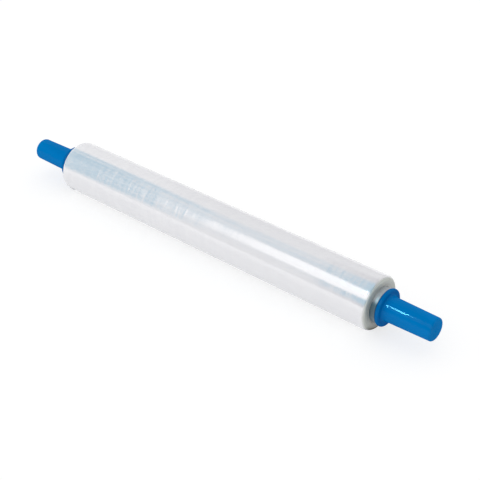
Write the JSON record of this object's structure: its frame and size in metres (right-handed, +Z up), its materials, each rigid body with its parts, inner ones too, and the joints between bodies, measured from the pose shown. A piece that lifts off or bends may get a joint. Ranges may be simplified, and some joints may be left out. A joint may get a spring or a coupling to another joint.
{
  "type": "stretch wrap roll",
  "caption": "Long roll of clear stretch film wound on a paperboard core, with a hollow flanged plastic handle that turns in each end of the core.",
  "frame": {"origin": "on the ground under the middle of the roll, on its flat rest", "axes": "+X along the roll to the handle nearest the camera in the picture, +Z up"},
  "size_m": [0.65, 0.0678, 0.0674],
  "materials": {
    "film": "gloss",
    "paperboard": "matte",
    "handle_plastic": "gloss"
  },
  "bodies": {
    "roll": {"film_roll": "film", "core_tube": "paperboard"},
    "right_handle": {"right_handle": "handle_plastic"},
    "left_handle": {"left_handle": "handle_plastic"}
  },
  "joints": [
    {"name": "right_handle_spin", "type": "hinge", "parent": "roll", "child": "right_handle", "pos_m": [0.2573, 0, 0.03353], "axis": [1, 0, 0], "continuous": true},
    {"name": "left_handle_spin", "type": "hinge", "parent": "roll", "child": "left_handle", "pos_m": [-0.2573, 0, 0.03353], "axis": [1, 0, 0], "continuous": true}
  ]
}
